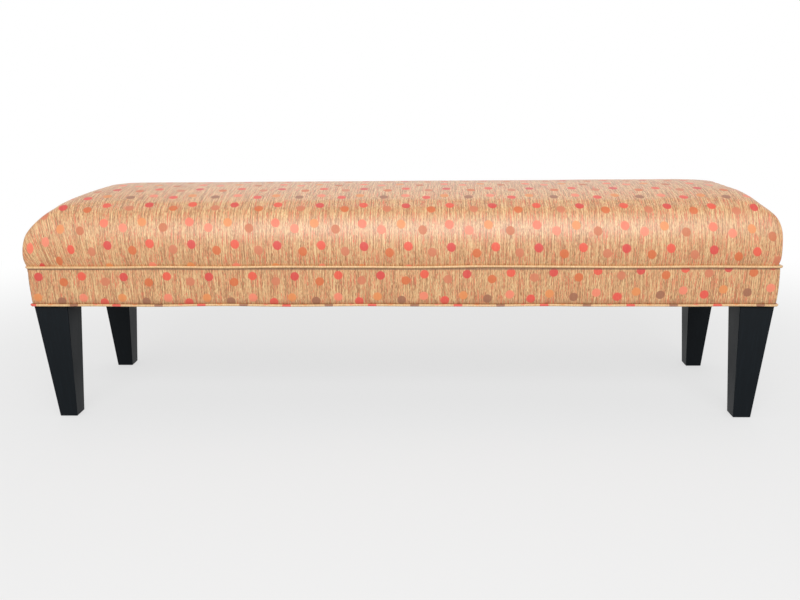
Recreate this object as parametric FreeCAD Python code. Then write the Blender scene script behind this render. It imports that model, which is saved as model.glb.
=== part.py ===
import FreeCAD, Part

# Upholstered bench: a crowned seat over a webbed timber frame, a welted border and four square tapered legs.
# Millimetres. X runs along the bench, Z is up and the front faces minus Y. The origin is on the floor, centred.

import math
import os

V = FreeCAD.Vector
UP = V(0, 0, 1)

# Overall sizes, taken over the welts
bench_length = 1524.0
bench_depth = 418.0
leg_height = 251.0
band_height = 79.5
crown_rise = 143.5

# Legs, their glides and the bolts that hold them
leg_top_width = 69.0
leg_foot_width = 37.0
leg_setback = 5.5
leg_edge_chamfer = 0.8
glide_diameter = 22.0
glide_thickness = 2.0
bolt_diameter = 8.0
bolt_depth_in_leg = 45.0
bolt_offset = 14.0
bolt_projection = 2.5
nut_across_flats = 13.0
nut_sides = 6
nut_height = 6.5
washer_diameter = 22.0
washer_thickness = 1.6
bar_sides = 16

# Timber frame
rail_thickness = 25.0
rail_corner_radius = 2.0
rail_edge_chamfer = 1.5
tenon_length = 16.0
tenon_thickness = 10.0
tenon_shoulder = 14.0
cross_rail_count = 2
cross_rail_thickness = 22.0
cross_rail_drop = 12.0
cross_rail_lift = 8.0
housing_depth = 6.0
block_reach = 92.0
block_tail = 22.0
block_height = 44.0

# Cloth, cord and padding
cloth = 1.0
dust_cloth = 0.6
dust_cut = 12.0
deck_cloth = 0.8
welt_diameter = 5.0
welt_sides = 8
welt_cord_diameter = 2.8
welt_cord_sides = 6
welt_bends = 4
welt_flange = 14.0
welt_rise = 2.85
tack_strip_width = 12.0
tack_strip_thickness = 1.0
wrap_thickness = 9.0
foam_base_height = 62.0

# Webbing
strap_width = 50.0
strap_thickness = 1.4
long_strap_spacing = 14.0
cross_strap_spacing = 66.0
strap_flat = 2.0
strap_fold = 20.0
strap_setback = 4.0

# Clearances
lay_gap = 0.15
fit_gap = 0.1
layer_gap = 0.3
cut_over = 10.0
same_place = 0.01

# Crown: the sides are drawn in at the welt, swell to the full size above it, then turn over in three arcs
draw_in_top = 1.2
draw_in_bottom = 11.0
swell_start_height = 6.5
swell_start_inset = 1.0
swell_height = 14.0
front_lean_angle = 33.0
front_shoulder_angle = 72.5
front_shoulder_radius = 45.0
end_lean_angle = 3.0
end_shoulder_angle = 62.0
end_shoulder_radius = 84.0
end_slope_length = 150.0
crown_corner_growth = 60.0
crown_corner_power = 5
smallest_radius = 0.6
roundest_share = 0.96
search_steps = 50

# Where along each of the three arcs the crown's outlines are drawn, on its outer face and on the ones inside
outer_shares = ([0, 0.47, 0.63, 0.8, 1], [0.33, 0.67, 1], [0.38, 0.77])
inner_shares = ([0, 0.63, 1], [0.67, 1], [0.77])

# Heights and insets that follow from the sizes above
band_setback = welt_diameter / 2 - fit_gap
rail_face = band_setback + cloth + tack_strip_thickness + 2 * cloth + 4 * lay_gap
rail_inner = rail_face + rail_thickness
rail_bottom = leg_height + dust_cloth + cloth + 2 * lay_gap
skirt_inset = rail_face - lay_gap - cloth
flange_inset = skirt_inset - lay_gap - cloth
band_back = band_setback + cloth + lay_gap
flange_z = rail_bottom - lay_gap - cloth
lower_welt_z = flange_z + welt_diameter / 2
upper_welt_z = lower_welt_z + band_height
rail_top = upper_welt_z - welt_rise
rail_height = rail_top - rail_bottom
cross_rail_height = rail_height - cross_rail_drop - cross_rail_lift
band_low = lower_welt_z + welt_diameter / 2 + lay_gap
band_high = upper_welt_z - welt_diameter / 2 - lay_gap
tack_strip_z = band_high - tack_strip_width
deck_z = rail_top + 2 * strap_thickness + 3 * lay_gap
foam_z = deck_z + deck_cloth + lay_gap
leg_center = leg_setback + leg_top_width / 2
bolt_inset = leg_center + bolt_offset
bolt_hole_diameter = bolt_diameter + 4 * fit_gap
corner_radius = rail_corner_radius + rail_face

os.makedirs("parts", exist_ok=True)


def save(name, solids):
    """Write one node: a single solid, or a group of separate solids."""
    group = solids if isinstance(solids, list) else [solids]
    shape = group[0] if len(group) == 1 else Part.makeCompound(group)
    shape.exportStep("parts/" + name + ".step")


def corners():
    """The four corners as (name, x sign, y sign), the front at minus y."""
    return [("front_left", -1, -1), ("front_right", 1, -1), ("rear_left", -1, 1), ("rear_right", 1, 1)]


def corner_point(sign_x, sign_y, inset, z):
    return V(sign_x * (bench_length / 2 - inset), sign_y * (bench_depth / 2 - inset), z)


def outline(z, inset_x, inset_y, radius):
    """A rounded rectangle at height z, inset from the overall length and depth."""
    half_x = bench_length / 2 - inset_x
    half_y = bench_depth / 2 - inset_y
    radius = max(smallest_radius, min(radius, roundest_share * half_x, roundest_share * half_y))
    core_x = half_x - radius
    core_y = half_y - radius
    diagonal = radius * math.sqrt(0.5)
    edges = []
    for turn in range(4):
        across, along = [(core_x, core_y), (core_y, core_x)][turn % 2]
        side = [V(across + radius, -along, z), V(across + radius, along, z)]
        bend = [side[1], V(across + diagonal, along + diagonal, z), V(across, along + radius, z)]
        pieces = [Part.makeLine(*side), Part.Arc(*bend).toShape()]
        for piece in pieces:
            piece.rotate(V(), UP, 90 * turn)
        edges += pieces
    return Part.Wire(edges)


def plan_outline(z, inset):
    """The same outline inset evenly, its corners kept parallel."""
    return outline(z, inset, inset, corner_radius - inset)


def prism(z_low, z_high, inset):
    return Part.Face(plan_outline(z_low, inset)).extrude(V(0, 0, z_high - z_low))


def ring(z_low, z_high, inset, thickness):
    return prism(z_low, z_high, inset).cut(prism(z_low, z_high, inset + thickness))


def mitred_sides(shape, z_low, z_high):
    """Split a ring into its front, rear, left and right lengths, mitred at the corners."""
    half_x = bench_length / 2
    half_y = bench_depth / 2
    far_x = half_x + cut_over
    far_y = half_y + cut_over
    ridge = half_x - half_y
    long_side = [V(-far_x, -far_y, z_low), V(far_x, -far_y, z_low), V(ridge, 0, z_low), V(-ridge, 0, z_low)]
    short_side = [V(far_x, -far_y, z_low), V(far_x, far_y, z_low), V(ridge, 0, z_low)]
    sides = {}
    for name, points, turn in [("front", long_side, 0), ("rear", long_side, 180),
                               ("right", short_side, 0), ("left", short_side, 180)]:
        wedge = Part.Face(Part.makePolygon(points + points[:1])).extrude(V(0, 0, z_high - z_low))
        wedge.rotate(V(), UP, turn)
        sides[name] = shape.common(wedge).Solids[0]
    return sides


def round_bar(diameter, low, length):
    """An upright bar or hole of the leg fastenings, round in many small flats."""
    return many_sided(bar_sides, diameter / 2, low, length)


def many_sided(sides, reach, low, length):
    """An upright bar of this many flats, its corners this far from its middle."""
    points = [low + FreeCAD.Rotation(UP, 360 * i / sides).multVec(V(reach, 0, 0)) for i in range(sides)]
    return Part.Face(Part.makePolygon(points + points[:1])).extrude(V(0, 0, length))


def box_at(center_low, size_x, size_y, size_z):
    """A box whose bottom face is centred on the point."""
    return Part.makeBox(size_x, size_y, size_z, center_low - V(size_x / 2, size_y / 2, 0))


# Crown surfaces

class Slope:
    """One side of the crown: an upright arc, a shoulder arc and a top arc, tangent to each other."""

    def __init__(self, run, rise, lean, shoulder, radius, inset):
        lean = math.radians(lean)
        shoulder = math.radians(shoulder)
        first_run = 1 - math.cos(lean)
        last_rise = 1 - math.sin(shoulder)
        spare_run = run - radius * (math.cos(lean) - math.cos(shoulder))
        spare_rise = rise - radius * (math.sin(shoulder) - math.sin(lean))
        scale = first_run * last_rise - math.cos(shoulder) * math.sin(lean)
        self.first = (spare_run * last_rise - math.cos(shoulder) * spare_rise) / scale - inset
        self.last = (first_run * spare_rise - math.sin(lean) * spare_run) / scale - inset
        self.middle = radius - inset
        self.lean = lean
        self.shoulder = shoulder
        self.inset = inset

    def point(self, angle):
        """Inset and height above the swell where the surface has turned by this angle, in radians."""
        turned = min(angle, self.lean)
        across = self.inset + self.first * (1 - math.cos(turned))
        height = self.first * math.sin(turned)
        if angle > self.lean:
            turned = min(angle, self.shoulder)
            across += self.middle * (math.cos(self.lean) - math.cos(turned))
            height += self.middle * (math.sin(turned) - math.sin(self.lean))
        if angle > self.shoulder:
            across += self.last * (math.cos(self.shoulder) - math.cos(angle))
            height += self.last * (math.sin(angle) - math.sin(self.shoulder))
        return across, height

    def inset_at(self, height):
        """Inset where the surface reaches this height."""
        low = 0.0
        high = math.pi / 2
        for _ in range(search_steps):
            middle = (low + high) / 2
            if self.point(middle)[1] < height:
                low = middle
            else:
                high = middle
        return self.point(low)[0]


def crown_turns(fine):
    """The turns of the front surface, in radians, at which the crown's outlines are drawn."""
    lean = math.radians(front_lean_angle)
    shoulder = math.radians(front_shoulder_angle)
    spans = [(0, lean), (lean, shoulder), (shoulder, math.pi / 2)]
    arcs = zip(outer_shares if fine else inner_shares, spans)
    return [low + (high - low) * share for shares, (low, high) in arcs for share in shares]


def crown(inset, fine=False):
    """The closed crown, every surface moved inwards by this inset, from the start of the swell to the top.

    The surfaces inside are drawn through every second outline of the outer one, so they stay within it.
    """
    rise = crown_rise - swell_height
    front = Slope(bench_depth / 2, rise, front_lean_angle, front_shoulder_angle, front_shoulder_radius, inset)
    end = Slope(end_slope_length, rise, end_lean_angle, end_shoulder_angle, end_shoulder_radius, inset)
    swell_z = upper_welt_z + swell_height
    start_z = upper_welt_z + swell_start_height
    start_inset = swell_start_inset + inset
    middle_inset = swell_start_inset / 4 + inset
    wires = [outline(start_z, start_inset, start_inset, corner_radius - start_inset),
             outline((start_z + swell_z) / 2, middle_inset, middle_inset, corner_radius - middle_inset)]
    for angle in crown_turns(fine):
        inset_y, height = front.point(angle)
        growth = crown_corner_growth * (height / rise) ** crown_corner_power
        wires.append(outline(swell_z + height, end.inset_at(height), inset_y, corner_radius - inset + growth))
    return Part.makeLoft(wires, True, True)


def flare(inset):
    """The short turn outwards from the drawn-in skirt to the start of the swell."""
    low = skirt_inset + inset
    high = swell_start_inset + inset
    wires = [outline(upper_welt_z + draw_in_top, low, low, corner_radius - low),
             outline(upper_welt_z + swell_start_height, high, high, corner_radius - high)]
    return Part.makeLoft(wires, True, True)


def cover_form(inset, fine):
    skirt = prism(upper_welt_z - draw_in_bottom, upper_welt_z + draw_in_top, skirt_inset + inset)
    return skirt.fuse([flare(inset), crown(inset, fine)]).removeSplitter()


def seat_cover():
    return cover_form(0, True).cut(cover_form(cloth, False)).Solids[0]


def polyester_wrap():
    outer = crown(cloth + layer_gap)
    inner = crown(cloth + layer_gap + wrap_thickness)
    trim = box_at(V(0, 0, 0), bench_length, bench_depth, upper_welt_z + swell_start_height + layer_gap)
    return outer.cut(inner).cut(trim).Solids[0]


def foam():
    """The firm base slab and the softer crown above it."""
    inset = cloth + 2 * layer_gap + wrap_thickness
    plinth = prism(foam_z, upper_welt_z + swell_start_height, swell_start_inset + inset)
    block = plinth.fuse(crown(inset)).removeSplitter()
    split_z = foam_z + foam_base_height
    below = box_at(V(0, 0, 0), bench_length, bench_depth, split_z)
    above = box_at(V(0, 0, split_z + lay_gap), bench_length, bench_depth, crown_rise)
    return block.common(below).Solids[0], block.common(above).Solids[0]


# Welts and border

def tube(path, diameter, sides):
    """A tube of many flat sides along a closed path, started in the middle of the path's right side."""
    start = V(bench_length / 2 - welt_diameter / 2, 0, path.BoundBox.ZMin)
    corner = start + V(diameter / 2, 0, 0)
    points = []
    for i in range(sides):
        turn = FreeCAD.Rotation(V(0, 1, 0), 360 * (i + 0.5) / sides)
        points.append(start + turn.multVec(corner - start))
    section = Part.makePolygon(points + points[:1])
    return path.makePipeShell([section], True, True, 1)


def from_middle(edges):
    """Put a closed path in order from the middle of its right side, cutting that side in two."""
    first, last = edges[0].Vertexes[0].Point, edges[0].Vertexes[-1].Point
    middle = (first + last) / 2
    return Part.Wire([Part.makeLine(middle, last)] + edges[1:] + [Part.makeLine(first, middle)])


def welt_path(z):
    """The run of a welt round the bench, which turns each corner in a few short bends."""
    points = []
    for edge in plan_outline(z, welt_diameter / 2).Edges:
        count = welt_bends if edge.Curve.TypeId == "Part::GeomCircle" else 1
        points += edge.discretize(count + 1)[:-1]
    return from_middle([Part.makeLine(a, b) for a, b in zip(points, points[1:] + points[:1])])


def welt(z, flange):
    """A welt's cloth casing with its flange, hollow for the cord."""
    casing = tube(welt_path(z), welt_diameter, welt_sides)
    return casing.fuse(flange).cut(cord(z, fit_gap)).removeSplitter().Solids[0]


def cord(z, gap=0):
    return tube(welt_path(z), welt_cord_diameter + 2 * gap, welt_cord_sides)


def upper_welt():
    flange = ring(upper_welt_z - welt_flange, upper_welt_z, flange_inset, cloth)
    return welt(upper_welt_z, flange)


def lower_welt():
    flange = ring(flange_z, flange_z + cloth, welt_diameter / 2, welt_flange)
    return welt(lower_welt_z, flange)


def border_bands():
    return mitred_sides(ring(band_low, band_high, band_setback, cloth), band_low, band_high)


def border_padding():
    z_high = tack_strip_z - layer_gap
    filling = ring(band_low, z_high, band_back, rail_face - lay_gap - band_back)
    return list(mitred_sides(filling, band_low, z_high).values())


def tack_strips():
    """Straight strips that hold the top edge of the border against the welt's flange."""
    long_run = bench_length - 2 * corner_radius
    short_run = bench_depth - 2 * corner_radius
    strips = []
    for sign in (-1, 1):
        y = sign * (bench_depth / 2 - band_back - tack_strip_thickness / 2)
        x = sign * (bench_length / 2 - band_back - tack_strip_thickness / 2)
        strips.append(box_at(V(0, y, tack_strip_z), long_run, tack_strip_thickness, tack_strip_width))
        strips.append(box_at(V(x, 0, tack_strip_z), tack_strip_thickness, short_run, tack_strip_width))
    return strips


# Timber frame

def cross_rail_places():
    pitch = bench_length / (cross_rail_count + 1)
    return [(i - (cross_rail_count - 1) / 2) * pitch for i in range(cross_rail_count)]


def long_rail(sign):
    """A long rail with rounded outer corners, mortised for the end rails and housed for the cross rails."""
    length = bench_length - 2 * rail_face
    y = sign * (bench_depth / 2 - rail_face - rail_thickness / 2)
    inner_y = sign * (bench_depth / 2 - rail_inner)
    body = box_at(V(0, y, rail_bottom), length, rail_thickness, rail_height)
    uprights = [e for e in body.Edges if not flat(e) and not lies_at(e, "y", inner_y)]
    body = body.makeFillet(rail_corner_radius, uprights)
    rim = [e for e in body.Edges if lies_at(e, "z", rail_top) and not lies_at(e, "y", inner_y)]
    body = body.makeChamfer(rail_edge_chamfer, rim)
    mortises = [end_tenons(side, fit_gap) for side in (-1, 1)]
    return body.cut(mortises + [cross_rail(x, fit_gap) for x in cross_rail_places()]).Solids[0]


def end_tenons(sign, gap):
    """The bar that runs through an end rail and stands out of both its ends as tenons."""
    x = sign * (bench_length / 2 - rail_face - rail_thickness / 2)
    low = rail_bottom + tenon_shoulder - gap
    length = bench_depth - 2 * rail_inner + 2 * (tenon_length + gap)
    return box_at(V(x, 0, low), tenon_thickness + 2 * gap, length, rail_height - 2 * tenon_shoulder + 2 * gap)


def end_rail(sign):
    x = sign * (bench_length / 2 - rail_face - rail_thickness / 2)
    outer_x = sign * (bench_length / 2 - rail_face)
    body = box_at(V(x, 0, rail_bottom), rail_thickness, bench_depth - 2 * rail_inner, rail_height)
    rim = [e for e in body.Edges if lies_at(e, "z", rail_top) and lies_at(e, "x", outer_x)]
    return body.makeChamfer(rail_edge_chamfer, rim).fuse(end_tenons(sign, 0)).removeSplitter().Solids[0]


def cross_rail(x, gap=0):
    """A lower rail under the webbing; with a gap it is the housing cut for it."""
    length = bench_depth - 2 * rail_inner + 2 * (housing_depth + gap)
    low = rail_top - cross_rail_drop - cross_rail_height - gap
    return box_at(V(x, 0, low), cross_rail_thickness + 2 * gap, length, cross_rail_height + 2 * gap)


def flat(edge):
    return abs(edge.BoundBox.ZLength) < same_place


def lies_at(edge, axis, place):
    """Whether the whole edge lies at this place along the axis."""
    values = [getattr(vertex.Point, axis) for vertex in edge.Vertexes]
    return all(abs(value - place) < same_place for value in values)


def corner_block(sign_x, sign_y):
    """A block glued into the corner of the frame, cut across its inner corner."""
    runs = [(0, 0), (block_reach, 0), (block_reach, block_tail), (block_tail, block_reach), (0, block_reach)]
    corner = corner_point(sign_x, sign_y, rail_inner, flange_z)
    points = [corner - V(sign_x * a, sign_y * b, 0) for a, b in runs]
    body = Part.Face(Part.makePolygon(points + points[:1])).extrude(V(0, 0, block_height))
    foot = corner_point(sign_x, sign_y, bolt_inset, flange_z)
    return body.cut(round_bar(bolt_hole_diameter, foot, block_height)).Solids[0]


# Legs and their fastenings

def leg(sign_x, sign_y):
    """A square leg, tapered alike on all four faces and drilled for its bolt."""
    half_foot = leg_foot_width / 2
    half_top = leg_top_width / 2
    body = Part.makeWedge(-half_foot, glide_thickness, -half_foot, -half_top, -half_top,
                          half_foot, leg_height, half_foot, half_top, half_top)
    body.rotate(V(), V(1, 0, 0), 90)
    body.translate(corner_point(sign_x, sign_y, leg_center, 0))
    body = body.makeChamfer(leg_edge_chamfer, [e for e in body.Edges if not lies_at(e, "z", leg_height)])
    bolt = corner_point(sign_x, sign_y, bolt_inset, leg_height - bolt_depth_in_leg - fit_gap)
    return body.cut(round_bar(bolt_diameter + 2 * fit_gap, bolt, bolt_depth_in_leg + cut_over)).Solids[0]


def glides():
    feet = [corner_point(sign_x, sign_y, leg_center, 0) for _, sign_x, sign_y in corners()]
    return [Part.makeCylinder(glide_diameter / 2, glide_thickness, foot) for foot in feet]


def washer_z():
    return flange_z + block_height + fit_gap


def bolts():
    solids = []
    low = leg_height - bolt_depth_in_leg
    high = washer_z() + washer_thickness + fit_gap + nut_height + bolt_projection
    for _, sign_x, sign_y in corners():
        foot = corner_point(sign_x, sign_y, bolt_inset, low)
        solids.append(round_bar(bolt_diameter, foot, high - low))
    return solids


def washers():
    solids = []
    for _, sign_x, sign_y in corners():
        base = corner_point(sign_x, sign_y, bolt_inset, washer_z())
        disc = round_bar(washer_diameter, base, washer_thickness)
        solids.append(disc.cut(round_bar(bolt_hole_diameter, base, washer_thickness)))
    return solids


def nuts():
    solids = []
    reach = nut_across_flats / 2 / math.cos(math.pi / nut_sides)
    for _, sign_x, sign_y in corners():
        base = corner_point(sign_x, sign_y, bolt_inset, washer_z() + washer_thickness + fit_gap)
        body = many_sided(nut_sides, reach, base, nut_height)
        solids.append(body.cut(round_bar(bolt_diameter + 2 * fit_gap, base, nut_height)))
    return solids


# Webbing and the cloths

def strap_line(crossings, reach, raised):
    """The underside of one strap, flat at each crossing and lifted over those that are raised."""
    low = rail_top + lay_gap
    half_flat = strap_width / 2 + strap_flat
    line = [(-reach, low), (-reach + strap_fold + strap_flat, low)]
    for place, over in zip(crossings, raised):
        z = low + over * (strap_thickness + lay_gap)
        line += [(place - half_flat, z), (place + half_flat, z)]
    return line + [(reach - strap_fold - strap_flat, low), (reach, low)]


def strap(crossings, reach, raised, across, along_y):
    """One strap, folded back over itself at both ends so that its raw edge lies on top."""
    line = strap_line(crossings, reach, raised)
    top = rail_top + lay_gap + strap_thickness
    fold = [(reach - strap_thickness, top), (reach - strap_thickness, top + lay_gap),
            (reach - strap_fold, top + lay_gap), (reach - strap_fold, top + lay_gap + strap_thickness),
            (reach, top + lay_gap + strap_thickness)]
    upper = [(run, z + strap_thickness) for run, z in line[1:-1]]
    loop = line + fold[::-1] + upper[::-1] + [(-run, z) for run, z in fold]
    place = across - strap_width / 2
    points = [V(place, run, z) if along_y else V(run, place, z) for run, z in loop]
    width = V(strap_width, 0, 0) if along_y else V(0, strap_width, 0)
    return Part.Face(Part.makePolygon(points + points[:1])).extrude(width)


def strap_places(span, spacing):
    """As many straps as fit across a span with this much room between them, evenly placed."""
    count = int(span / (strap_width + spacing))
    pitch = span / (count + 0.5)
    return [(i - (count - 1) / 2) * pitch for i in range(count)]


def webbing():
    """Long and cross straps, laced over and under each other."""
    long_places = strap_places(bench_depth - 2 * rail_inner, long_strap_spacing)
    cross_places = strap_places(bench_length - 2 * rail_inner, cross_strap_spacing)
    reach_x = bench_length / 2 - rail_face - strap_setback
    reach_y = bench_depth / 2 - rail_face - strap_setback
    long_straps = []
    for i, y in enumerate(long_places):
        raised = [(i + j) % 2 == 0 for j in range(len(cross_places))]
        long_straps.append(strap(cross_places, reach_x, raised, y, False))
    cross_straps = []
    for j, x in enumerate(cross_places):
        raised = [(i + j) % 2 == 1 for i in range(len(long_places))]
        cross_straps.append(strap(long_places, reach_y, raised, x, True))
    return long_straps, cross_straps


def deck_sheet():
    """The plain cloth over the webbing, tacked to the tops of the rails."""
    return prism(deck_z, deck_z + deck_cloth, rail_face + strap_setback)


def dust_cover():
    """The thin cloth across the underside, snipped open for the leg bolts."""
    sheet = prism(leg_height + fit_gap, leg_height + dust_cloth, welt_diameter + strap_setback)
    places = [corner_point(sign_x, sign_y, bolt_inset, leg_height) for _, sign_x, sign_y in corners()]
    return sheet.cut([box_at(place, dust_cut, dust_cut, dust_cloth + fit_gap) for place in places]).Solids[0]


# Write every node

for name, sign_x, sign_y in corners():
    save("leg_" + name, leg(sign_x, sign_y))
    save("corner_block_" + name, corner_block(sign_x, sign_y))
save("leg_glides", glides())
save("leg_bolts", bolts())
save("leg_bolt_washers", washers())
save("leg_bolt_nuts", nuts())
save("front_rail", long_rail(-1))
save("rear_rail", long_rail(1))
save("left_end_rail", end_rail(-1))
save("right_end_rail", end_rail(1))
for number, x in enumerate(cross_rail_places(), 1):
    save("cross_rail_" + str(number), cross_rail(x))
long_straps, cross_straps = webbing()
save("webbing_long_straps", long_straps)
save("webbing_cross_straps", cross_straps)
save("deck_cloth", deck_sheet())
foam_base, foam_crown = foam()
save("foam_base", foam_base)
save("foam_crown", foam_crown)
save("polyester_wrap", polyester_wrap())
save("seat_cover", seat_cover())
save("upper_welt", upper_welt())
save("upper_welt_cord", cord(upper_welt_z))
save("lower_welt", lower_welt())
save("lower_welt_cord", cord(lower_welt_z))
for name, band in border_bands().items():
    save("border_" + name, band)
save("border_padding", border_padding())
save("tack_strips", tack_strips())
save("dust_cover", dust_cover())
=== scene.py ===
import math

import bmesh
import bpy
import numpy as np
from mathutils import Matrix, Vector, noise


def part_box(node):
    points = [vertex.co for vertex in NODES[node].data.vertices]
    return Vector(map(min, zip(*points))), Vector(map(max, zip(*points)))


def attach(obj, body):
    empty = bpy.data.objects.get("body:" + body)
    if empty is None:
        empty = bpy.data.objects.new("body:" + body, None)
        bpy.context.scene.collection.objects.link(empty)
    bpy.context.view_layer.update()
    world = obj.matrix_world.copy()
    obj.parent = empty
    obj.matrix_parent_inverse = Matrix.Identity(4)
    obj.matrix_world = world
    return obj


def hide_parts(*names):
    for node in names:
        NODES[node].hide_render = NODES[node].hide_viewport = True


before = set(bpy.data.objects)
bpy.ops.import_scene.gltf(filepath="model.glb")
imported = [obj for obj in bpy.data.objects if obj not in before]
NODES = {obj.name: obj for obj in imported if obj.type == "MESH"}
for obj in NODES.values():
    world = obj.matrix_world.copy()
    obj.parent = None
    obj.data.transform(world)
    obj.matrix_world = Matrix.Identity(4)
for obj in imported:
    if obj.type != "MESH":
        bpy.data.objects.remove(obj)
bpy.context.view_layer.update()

bl_info = {
    "name": "Upholstered Bench",
    "version": (1, 0, 0),
    "blender": (4, 5, 0),
    "location": "View3D > Sidebar > Bench",
    "description": "Builds the cover, border, welts, legs and underside of a long upholstered bench",
    "category": "Object",
}

COVER_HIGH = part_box("seat_cover")[1]
HALF_LENGTH = COVER_HIGH.x
HALF_DEPTH = COVER_HIGH.y


def middle_height(node):
    low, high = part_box(node)
    return (low.z + high.z) / 2


UPPER_WELT_Z = middle_height("upper_welt_cord")
LOWER_WELT_Z = middle_height("lower_welt_cord")


# Sizes and colours that a user would change

def length(name, description, default):
    return bpy.props.FloatProperty(
        name=name, description=description, default=default, unit="LENGTH", precision=4)


def angle(name, description, degrees):
    return bpy.props.FloatProperty(
        name=name, description=description, default=math.radians(degrees), subtype="ANGLE")


def number(name, description, default):
    return bpy.props.FloatProperty(name=name, description=description, default=default, precision=4)


def color(name, description, red, green, blue):
    """A colour as it looks on a screen, 0 to 255, kept as the linear values that a shader takes."""
    linear = [((c / 255 + 0.055) / 1.055) ** 2.4 if c > 10 else c / 255 / 12.92 for c in (red, green, blue)]
    return bpy.props.FloatVectorProperty(
        name=name, description=description, default=linear, size=3, subtype="COLOR", min=0, max=1)


class BenchPlan(bpy.types.PropertyGroup):
    corner_radius: length("Corner radius", "Rounding of the bench's corners, seen from above", 0.0045)
    welt_diameter: length("Welt", "Thickness of both welts", 0.005)
    welt_stand: length("Welt stand", "How far the welts stand out beyond the cover", 0.0016)
    welt_wave: length("Welt wave", "How far a welt wanders up and down along its run", 0.0020)
    # The welts' mix towards the pale thread evens out their streaks and also lightens them as a painted
    # highlight.
    welt_calm_and_highlight: number("Welt calm", "How much the pale thread evens out the streaks on a welt", 0.55)
    band_setback: length("Band setback", "How far the border lies behind the welts", 0.0024)
    band_swell: length("Band swell", "How far the padding pushes the border out", 0.0020)
    cloth: length("Cloth", "Thickness of the cover cloth", 0.001)


class CrownShape(bpy.types.PropertyGroup):
    rise: length("Rise", "Height of the crown over the upper welt, in the middle", 0.1438)
    tilt: number("Tilt", "Share by which the right end of the crown is higher than the middle", 0.019)
    draw_in: length("Draw in", "How far the cover is pulled in behind the upper welt", 0.0045)
    swell_height: length("Swell height", "Height over the upper welt where the cover is at its widest", 0.022)
    skirt: length("Skirt", "How far the cover reaches down behind the upper welt", 0.011)
    front_lean: angle("Front lean", "Turn of the front's lower arc", 33)
    front_shoulder: angle("Front shoulder", "Turn at the end of the front's shoulder arc", 72.5)
    front_radius: length("Front radius", "Radius of the front's shoulder arc", 0.045)
    left_run: length("Left run", "Length over which the left end slopes up", 0.1460)
    left_lean: angle("Left lean", "Turn of the left end's lower arc", 12.46)
    left_shoulder: angle("Left shoulder", "Turn at the end of the left end's shoulder arc", 35.1)
    left_radius: length("Left radius", "Radius of the left end's shoulder arc", 0.0248)
    right_run: length("Right run", "Length over which the right end slopes up", 0.1841)
    right_lean: angle("Right lean", "Turn of the right end's lower arc", 0.98)
    right_shoulder: angle("Right shoulder", "Turn at the end of the right end's shoulder arc", 82.5)
    right_radius: length("Right radius", "Radius of the right end's shoulder arc", 0.0792)
    right_setback: length("Right setback", "How far the right end stays behind the welt", 0.0035)
    right_pinch: length("Right pinch", "How far the cover dips in above the fold at the right end", 0.0076)
    pinch_height: length("Pinch height", "Height of that dip over the widest part", 0.0928)
    pinch_width: length("Pinch width", "How far that dip spreads up and down", 0.0140)
    left_belly: length("Left belly", "How far the lower part of the left end bulges out", 0.0035)
    belly_height: length("Belly height", "Height over the widest part at which that bulge ends", 0.050)
    corner_growth: length("Corner growth", "How much rounder the corners are at the top", 0.06)
    pressure: number("Pressure", "Pressure of the filling in the cloth simulation", 4)
    give: length("Give", "Furthest that the filling may push the cover out", 0.0025)
    ripple: length("Ripple", "Height of the soft ripples in the cover", 0.0006)
    pleat_step: length("Pleat step", "How far the folded edge of a corner pleat stands up", 0.0014)


class ClothLook(bpy.types.PropertyGroup):
    repeat: length("Repeat", "Size of one square repeat of the pattern", 0.1746)
    dot_diameter: length("Dot", "Width of a dot", 0.0178)
    ground: color("Ground", "Main colour of the satin", 208, 153, 101)
    pale_thread: color("Pale thread", "Lightest streaks of the ground", 236, 199, 142)
    coral_thread: color("Coral thread", "Reddest streaks of the ground", 220, 110, 70)
    olive_thread: color("Olive thread", "Darkest streaks of the ground", 158, 102, 54)
    contrast: number("Contrast", "How strongly the olive and coral streaks show", 0.95)
    dark_red: color("Dark red", "Dot colour", 212, 48, 42)
    orange_red: color("Orange red", "Dot colour", 230, 74, 46)
    orange: color("Orange", "Dot colour", 210, 100, 36)
    dull_pink: color("Dull pink", "Dot colour", 206, 116, 76)
    salmon: color("Salmon", "Dot colour", 242, 112, 80)
    light_pink: color("Light pink", "Dot colour", 240, 130, 98)
    light_orange: color("Light orange", "Dot colour", 228, 138, 70)
    brown_orange: color("Brown orange", "Dot colour", 196, 102, 50)
    brown: color("Brown", "Dot colour", 152, 92, 58)
    red: color("Red", "Dot colour", 228, 68, 52)


class LegShape(bpy.types.PropertyGroup):
    foot_width: length("Foot width", "Width of a leg at the floor", 0.037)
    edge_radius: length("Edge radius", "Rounding of a leg's edges", 0.0012)
    lacquer: color("Lacquer", "Colour of the legs", 17, 22, 26)


class UndersideShape(bpy.types.PropertyGroup):
    sag: length("Sag", "How far the dust cover hangs down in the middle", 0.004)
    staple_spacing: length("Staple spacing", "Distance from staple to staple", 0.038)
    staple_width: length("Staple width", "Length of a staple's crown", 0.010)


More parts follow.
